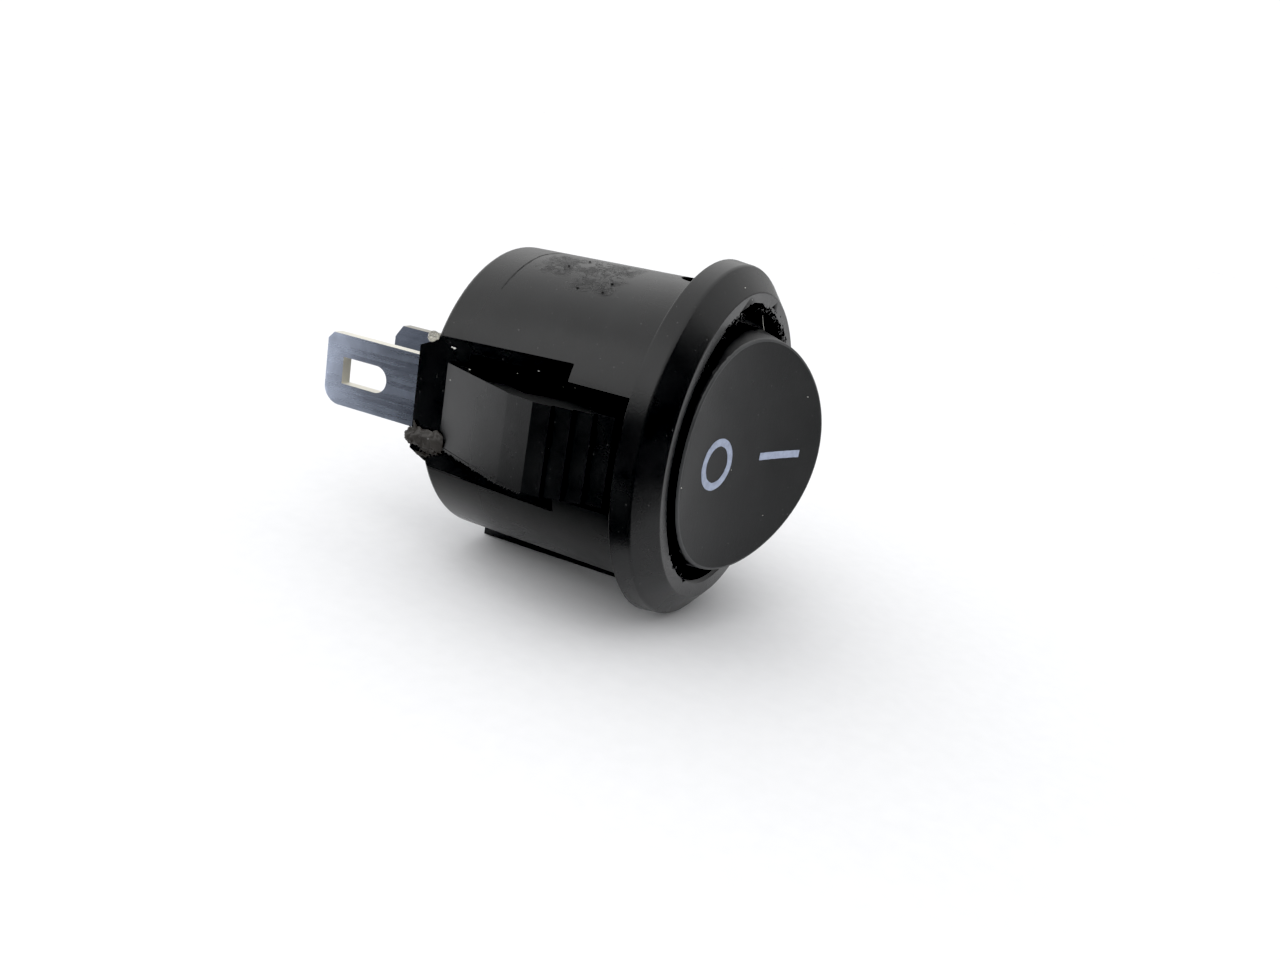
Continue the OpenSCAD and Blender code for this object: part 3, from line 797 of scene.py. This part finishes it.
def make_rocker():
    bm = welded_copy("rocker")
    # merges the tiny edges that the face's seam leaves at z = 0
    seam = [v for v in bm.verts if abs(v.co.z) < 0.03 * MM]
    bmesh.ops.remove_doubles(bm, verts=seam, dist=0.03 * MM)
    bmesh.ops.dissolve_degenerate(bm, dist=0.002 * MM, edges=bm.edges)
    bm.normal_update()
    for face in bm.faces:
        face.material_index = 0
    rim = [e for e in sharp_edges(bm, 20, 0.02) if all(on_rim(v.co) for v in e.verts)]
    cutter = rim_cutter(rim, RIM_ROUND)
    obj = new_object("rocker_button", bm, ROCKER, 40, ROCKER_RIM_HIGHLIGHT)
    cut(obj, cutter)
    even_normals(obj)
    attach(obj, "rocker")
    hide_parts("rocker")


# Each blade's tip corners: where the CAD has them and where this switch does, as (y, z)
TIP_CORNERS = {
    "line_terminal": (
        ((24.3, 1.65), (24.2, 1.93)), ((23.55, 2.4), (23.74, 2.4)),
        ((24.3, -1.65), (24.2, -1.72)), ((23.55, -2.4), (23.42, -2.4)),
    ),
    "common_terminal": (
        ((24.3, 1.65), (24.15, 1.55)), ((24.3, -1.65), (24.15, -1.55)),
    ),
}


def move_tip(bm, old, new):
    """Moves the blade-tip vertices found at old (y, z) to new (y, z), in millimetres."""
    for v in bm.verts:
        if abs(v.co.y / MM - old[0]) < 0.01 and abs(v.co.z / MM - old[1]) < 0.01:
            v.co.y, v.co.z = new[0] * MM, new[1] * MM


def make_blade(node):
    bm = welded_copy(node)
    for old, new in TIP_CORNERS[node]:
        move_tip(bm, old, new)
    if node == "line_terminal":
        # this blade's lower corner is rounder than its upper one
        low = [e for e in bm.edges
               if all(v.co.y > 23.3 * MM and v.co.z < -1.6 * MM for v in e.verts)
               and abs(e.verts[0].co.x - e.verts[1].co.x) > 0.5 * MM]
        soften(bm, 0.42, 4, low)
    soften(bm, 0.11, 4, sharp_edges(bm, 35, 0.1))
    for face in bm.faces:
        face.material_index = 0 if abs(face.normal.x) > 0.85 else 1
    # the far blade takes the darker copies of the metal and its edge: painted shade
    sides, edges = (BLADE, EDGE) if node == "line_terminal" else (SHADED_BLADE, SHADED_EDGE)
    obj = new_object(node + "_blade", bm, sides, 40, edges)
    even_normals(obj)
    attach(obj, "housing")
    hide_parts(node)


# How far the printed ink stands on the face, and how far it reaches below it
INK_LIFT, INK_SINK = 0.014, -0.02


def face_pad(name, outline, inner=None):
    """A printed mark: a thin pad laid on the rocker's hollow face, from an outline in (u, w)."""
    bm = bmesh.new()

    def ring(points, up):
        return [bm.verts.new(from_rocker(u, face_height(u) - up, w)) for u, w in points]

    top = ring(outline, INK_LIFT)
    low = ring(outline, INK_SINK)
    n = len(outline)
    for i in range(n):
        bm.faces.new((top[i], top[(i + 1) % n], low[(i + 1) % n], low[i]))
    if inner:
        top_in, low_in = ring(inner, INK_LIFT), ring(inner, INK_SINK)
        for i in range(n):
            k = (i + 1) % n
            bm.faces.new((top[k], top[i], top_in[i], top_in[k]))
            bm.faces.new((low[i], low[k], low_in[k], low_in[i]))
            bm.faces.new((top_in[k], top_in[i], low_in[i], low_in[k]))
    else:
        half = n // 2
        for i in range(half - 1):
            a, b = i, i + 1
            c, d = n - 2 - i, n - 1 - i
            bm.faces.new((top[b], top[a], top[d], top[c]))
            bm.faces.new((low[a], low[b], low[c], low[d]))
    bmesh.ops.recalc_face_normals(bm, faces=bm.faces)
    obj = new_object(name, bm, INK, 30)
    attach(obj, "rocker")
    return obj


def make_spring():
    """The plunger's spring, on the rocker's body with a mesh of its own; this script doesn't
    shorten it as the plunger goes in.
    """
    bm = welded_copy("plunger_spring")
    obj = new_object("spring_coil", bm, SPRING, 40)
    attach(obj, "rocker")
    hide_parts("plunger_spring")
    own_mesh(obj)


O_CENTRE = (-2.98, -0.16)
O_OUTER = (1.66, 1.62)
O_INNER = (1.16, 1.13)
O_STEPS = 96
I_START, I_END, I_MID, I_HALF_W = 1.58, 5.34, -0.11, 0.24
I_STEPS = 32


def o_outline(radii, seed):
    """One edge of the O, with the print's slight wobble."""
    points = []
    for i in range(O_STEPS):
        a = 2 * math.pi * i / O_STEPS
        wob = 0.02 * noise.noise(Vector((math.cos(a) * 4, math.sin(a) * 4, seed)))
        points.append((O_CENTRE[0] + (radii[0] + wob) * math.cos(a),
                       O_CENTRE[1] + (radii[1] + wob) * math.sin(a)))
    return points


def make_marks():
    face_pad("mark_off", o_outline(O_OUTER, 0.3), o_outline(O_INNER, 5.3))
    upper, lower = [], []
    for i in range(I_STEPS + 1):
        u = I_START + (I_END - I_START) * i / I_STEPS
        upper.append((u, I_MID + I_HALF_W + 0.014 * noise.noise(Vector((u * 3, 2, 0)))))
        lower.append((u, I_MID - I_HALF_W + 0.014 * noise.noise(Vector((u * 3, 7, 0)))))
    face_pad("mark_on", upper + lower[::-1])


# Pale specks on each body: seed, then x, y, z and radius
SPECKS = {
    "housing": (
        (0, -1.86, -2.15, 10.15, 0.05), (2, -7.9, 5.0, 3.0, 0.03),
        (3, -8.94, 13.12, 1.71, 0.04), (4, -7.9, 9.05, 2.95, 0.04),
        (5, -8.7, 7.14, 3.61, 0.035), (6, -8.7, 13.42, 3.69, 0.07),
        (7, -8.7, 13.24, 3.66, 0.08), (8, -9.0, 11.77, 2.69, 0.04),
        (9, -7.9, 5.81, 2.87, 0.03), (10, -1.28, -2.5, 9.48, 0.03),
    ),
    "rocker": (
        (0, -8.32, -2.96, -0.97, 0.05), (1, 3.36, -5.70, 3.68, 0.045),
        (2, -2.62, -3.67, -0.71, 0.03), (3, 1.2, -5.0, -4.1, 0.03),
    ),
}
FIBRE_STEPS = 12
FIBRE_SIDES = 6
FIBRE_R = 0.022


def make_resin_drop():
    """The clear drop on the terminal block, by the near blade."""
    bm = bmesh.new()
    blob(bm, (-8.52, 14.98, 3.98), (0.36, 0.40, 0.38), 4.0, 0.10, 1.4, 4)
    obj = new_object("resin_drop", bm, RESIN, 60)
    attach(obj, "housing")


def make_fibre():
    """A pale fibre in the opening, thinner towards its ends."""
    bm = bmesh.new()
    rings = []
    for i in range(FIBRE_STEPS + 1):
        t = i / FIBRE_STEPS
        p = Vector((0.95 + 0.12 * math.sin(t * 3), -2.56 - 0.30 * t * t, 8.45 - 0.98 * t))
        r = FIBRE_R * (1 - 0.4 * abs(i / 6 - 1))
        turns = [math.tau * j / FIBRE_SIDES for j in range(FIBRE_SIDES)]
        rings.append([bm.verts.new((p + Vector((r * math.cos(a), r * math.sin(a), 0))) * MM)
                      for a in turns])
    for a, b in zip(rings, rings[1:]):
        for j in range(FIBRE_SIDES):
            k = (j + 1) % FIBRE_SIDES
            bm.faces.new((a[j], a[k], b[k], b[j]))
    bm.faces.new(rings[0][::-1])
    bm.faces.new(rings[-1])
    fibre = new_object("dust_fibre", bm, DUST, 60)
    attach(fibre, "housing")


def make_specks(body):
    bm = bmesh.new()
    for i, x, y, z, r in SPECKS[body]:
        radii = (r * 0.8, r * (1.0 + (i * 0.37) % 1.1), r * 0.7)
        blob(bm, (x, y, z), radii, i + 2.0, 0.4, 2.0, 2)
    obj = new_object("dust_" + body, bm, DUST, 60)
    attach(obj, body)


make_housing()
make_lump()
make_rocker()
make_blade("common_terminal")
make_blade("line_terminal")
make_spring()
make_marks()
make_resin_drop()
make_fibre()
make_specks("housing")
make_specks("rocker")


# ---------------------------------------------------------------- stage

FLOOR_R = 1.6
FLOOR_Z = -0.01154
FLOOR_TILT = -0.0704
PAPER_LOW, PAPER_HIGH = (0.86, 0.865, 0.88), (0.88, 0.885, 0.90)

LAMP_PLACE = Vector((-0.26, 0.14, 0.27))
LAMP_TARGET = Vector((0, 0.005, 0))
LAMP_SIZE = 0.30
LAMP_POWER = 0.10

# The upright cards stand on an arc, in millimetres
CARD_CENTRE = (-2, 4)
CARD_R = 34
CARD_BOTTOM = -11.0
CARD_STEPS = 32

# The camera's place in millimetres and its axes, from the pinhole camera fitted to the photo
CAMERA_PLACE = Vector((-66.60654, -26.71582, 16.85699))
CAMERA_RIGHT = Vector((0.4472469, -0.88046941, 0.1573017))
CAMERA_DOWN = Vector((-0.17681181, -0.25943722, -0.94943663))
CAMERA_AHEAD = Vector((0.87675982, 0.39681979, -0.27170989))
SENSOR_MM = 36
LENS_MM = 32.21596406

BLACK_LEVEL = 0.012


def make_floor():
    """White paper, tilted to lie under the switch as it lies in the photo."""
    up = Vector((0, FLOOR_TILT, 1)).normalized()
    along = Vector((1, 0, 0))
    turn = Matrix((along, up.cross(along), up)).transposed().to_4x4()
    bpy.ops.mesh.primitive_circle_add(vertices=96, radius=FLOOR_R, fill_type="NGON")
    floor = bpy.context.object
    floor.name = "floor"
    floor.matrix_world = Matrix.Translation((0, 0, FLOOR_Z)) @ turn
    n = Nodes("floor_paper")
    fine = n.noise(900, 3, 0.5)
    colour = n.ramp(fine, "Fac", [(0.3, PAPER_LOW), (0.7, PAPER_HIGH)])
    bump = n.bump(fine, "Fac", 0.02 * MM)
    assign(floor, n.finish((colour, "Color"), None, bump, Roughness=0.9))


def make_lamp():
    """One soft lamp, on the picture's left."""
    lamp = bpy.data.lights.new("softbox_left", "AREA")
    lamp.shape = "DISK"
    lamp.size = LAMP_SIZE
    lamp.energy = LAMP_POWER
    obj = bpy.data.objects.new("softbox_left", lamp)
    bpy.context.scene.collection.objects.link(obj)
    obj.location = LAMP_PLACE
    obj.rotation_mode = "QUATERNION"
    obj.rotation_quaternion = (LAMP_PLACE - LAMP_TARGET).to_track_quat("Z", "Y")


def reflected_card(name, bm, value, glow=0.0, fade=None):
    """A card of one grey that only reflections see; fade pales it between two x, in metres."""
    n = Nodes(name)
    fine = n.noise(300, 2, 0.5)
    colour = n.ramp(fine, "Fac", [(0.3, grey(value * 0.9)), (0.7, grey(value))])
    if fade:
        split = n.add("ShaderNodeSeparateXYZ")
        n.link(n.coord, "Object", split, "Vector")
        across = n.span(split, "X", 0.0, 1.0, *fade)
        colour = n.ramp(across, "Result", [(0.0, grey(value)), (1.0, grey(0.86))])
    obj = new_object(name, bm, n.finish(
        (colour, "Color"), None, None, Roughness=0.9, Emission_Strength=glow,
        Emission_Color=(1, 1, 1, 1)))
    obj.visible_camera = False
    obj.visible_diffuse = False
    obj.visible_shadow = False
    obj.visible_transmission = False


def upright_card(name, first, last, top_at, value, glow=0.0):
    """A card on the arc, from the first to the last degree; top_at gives its top edge."""
    bm = bmesh.new()
    rows = []
    for i in range(CARD_STEPS + 1):
        deg = first + (last - first) * i / CARD_STEPS
        a = math.radians(deg)
        x, y = CARD_CENTRE[0] + CARD_R * math.cos(a), CARD_CENTRE[1] + CARD_R * math.sin(a)
        rows.append([bm.verts.new(Vector((x, y, z)) * MM) for z in (CARD_BOTTOM, top_at(deg))])
    for a, b in zip(rows, rows[1:]):
        bm.faces.new((a[0], b[0], b[1], a[1]))
    reflected_card(name, bm, value, glow)


def lying_card(name, corners, value, fade=None):
    bm = bmesh.new()
    bm.faces.new([bm.verts.new(Vector(c) * MM) for c in corners])
    reflected_card(name, bm, value, 0.0, fade)


def dark_top(deg):
    """The dark card's top edge, which rises towards the rocker's side."""
    return 13.0 + 17.0 * min(1.0, max(0.0, (deg - 175) / 60))


def make_cards():
    """Cards on the camera's side and just above the floor, seen only in reflections: painted
    reflections. The dark card darkens what the plastic reflects on the camera's side, the low
    cards paint the floor's shade under the switch into the reflections, and the pale card glows
    to paint a highlight along the rocker's rim.
    """
    upright_card("dark_card", 121, 283, dark_top, 0.10)
    # a pale card that glows, seen only in reflections: a painted highlight on the rocker's rim
    upright_card("highlight_card", 284, 293, lambda deg: 24.0, 0.8, 1.2)
    # dark cards just above the floor, paling towards the switch, seen only in reflections:
    # painted shade of the floor
    lying_card("low_shade_card", (
        (-36, -30, -13.3), (-13.2, -30, -13.3), (-13.2, 32, -8.9), (-36, 32, -8.9)), 0.09)
    lying_card("low_shade_fade", (
        (-13.2, 2, -11.03), (-6, 2, -11.03), (-6, 32, -8.9), (-13.2, 32, -8.9)), 0.09,
        (-12.5 * MM, -6.5 * MM))


def make_world():
    """A sky that differs for matt light, for gloss and for the camera."""
    world = bpy.data.worlds.new("studio")
    bpy.context.scene.world = world
    world.use_nodes = True
    t = world.node_tree
    t.nodes.clear()
    out = t.nodes.new("ShaderNodeOutputWorld")
    coord = t.nodes.new("ShaderNodeTexCoord")

    def dome(towards, low, high, dim, full):
        """A smooth gradient that is dim away from a direction and full towards it."""
        dot = t.nodes.new("ShaderNodeVectorMath")
        dot.operation = "DOT_PRODUCT"
        dot.inputs[1].default_value = towards
        t.links.new(coord.outputs["Generated"], dot.inputs[0])
        ramp = t.nodes.new("ShaderNodeMapRange")
        ramp.interpolation_type = "SMOOTHSTEP"
        for name, value in (
            ("From Min", low), ("From Max", high), ("To Min", dim), ("To Max", full),
        ):
            ramp.inputs[name].default_value = value
        t.links.new(dot.outputs["Value"], ramp.inputs["Value"])
        back = t.nodes.new("ShaderNodeBackground")
        t.links.new(ramp.outputs["Result"], back.inputs["Strength"])
        return back

    matt = dome((-0.50, 0.50, 0.707), -0.6, 0.9, 0.25, 1.95)
    gloss = dome((-0.42, 0.30, 0.857), -0.5, 0.6, 0.6, 1.6)
    seen = t.nodes.new("ShaderNodeBackground")
    seen.inputs["Strength"].default_value = 1.3
    path = t.nodes.new("ShaderNodeLightPath")
    mix = t.nodes.new("ShaderNodeMixShader")
    lit = t.nodes.new("ShaderNodeMixShader")
    t.links.new(path.outputs["Is Glossy Ray"], lit.inputs["Fac"])
    t.links.new(matt.outputs["Background"], lit.inputs[1])
    t.links.new(gloss.outputs["Background"], lit.inputs[2])
    t.links.new(path.outputs["Is Camera Ray"], mix.inputs["Fac"])
    t.links.new(lit.outputs["Shader"], mix.inputs[1])
    t.links.new(seen.outputs["Background"], mix.inputs[2])
    t.links.new(mix.outputs["Shader"], out.inputs["Surface"])


def make_camera():
    cam = bpy.data.cameras.new("camera")
    obj = bpy.data.objects.new("camera", cam)
    bpy.context.scene.collection.objects.link(obj)
    turn = Matrix((CAMERA_RIGHT, -CAMERA_DOWN, -CAMERA_AHEAD)).transposed().to_4x4()
    obj.matrix_world = Matrix.Translation(CAMERA_PLACE * MM) @ turn
    cam.sensor_width = SENSOR_MM
    cam.lens = LENS_MM
    cam.clip_start = 0.002
    cam.clip_end = 10
    bpy.context.scene.camera = obj


def set_view():
    """A small black level gives the photo's deep blacks."""
    view = bpy.context.scene.view_settings
    view.view_transform = "Standard"
    view.use_curve_mapping = True
    view.curve_mapping.black_level = (BLACK_LEVEL, BLACK_LEVEL, BLACK_LEVEL)
    view.curve_mapping.update()


make_floor()
make_lamp()
make_cards()
make_world()
make_camera()
set_view()
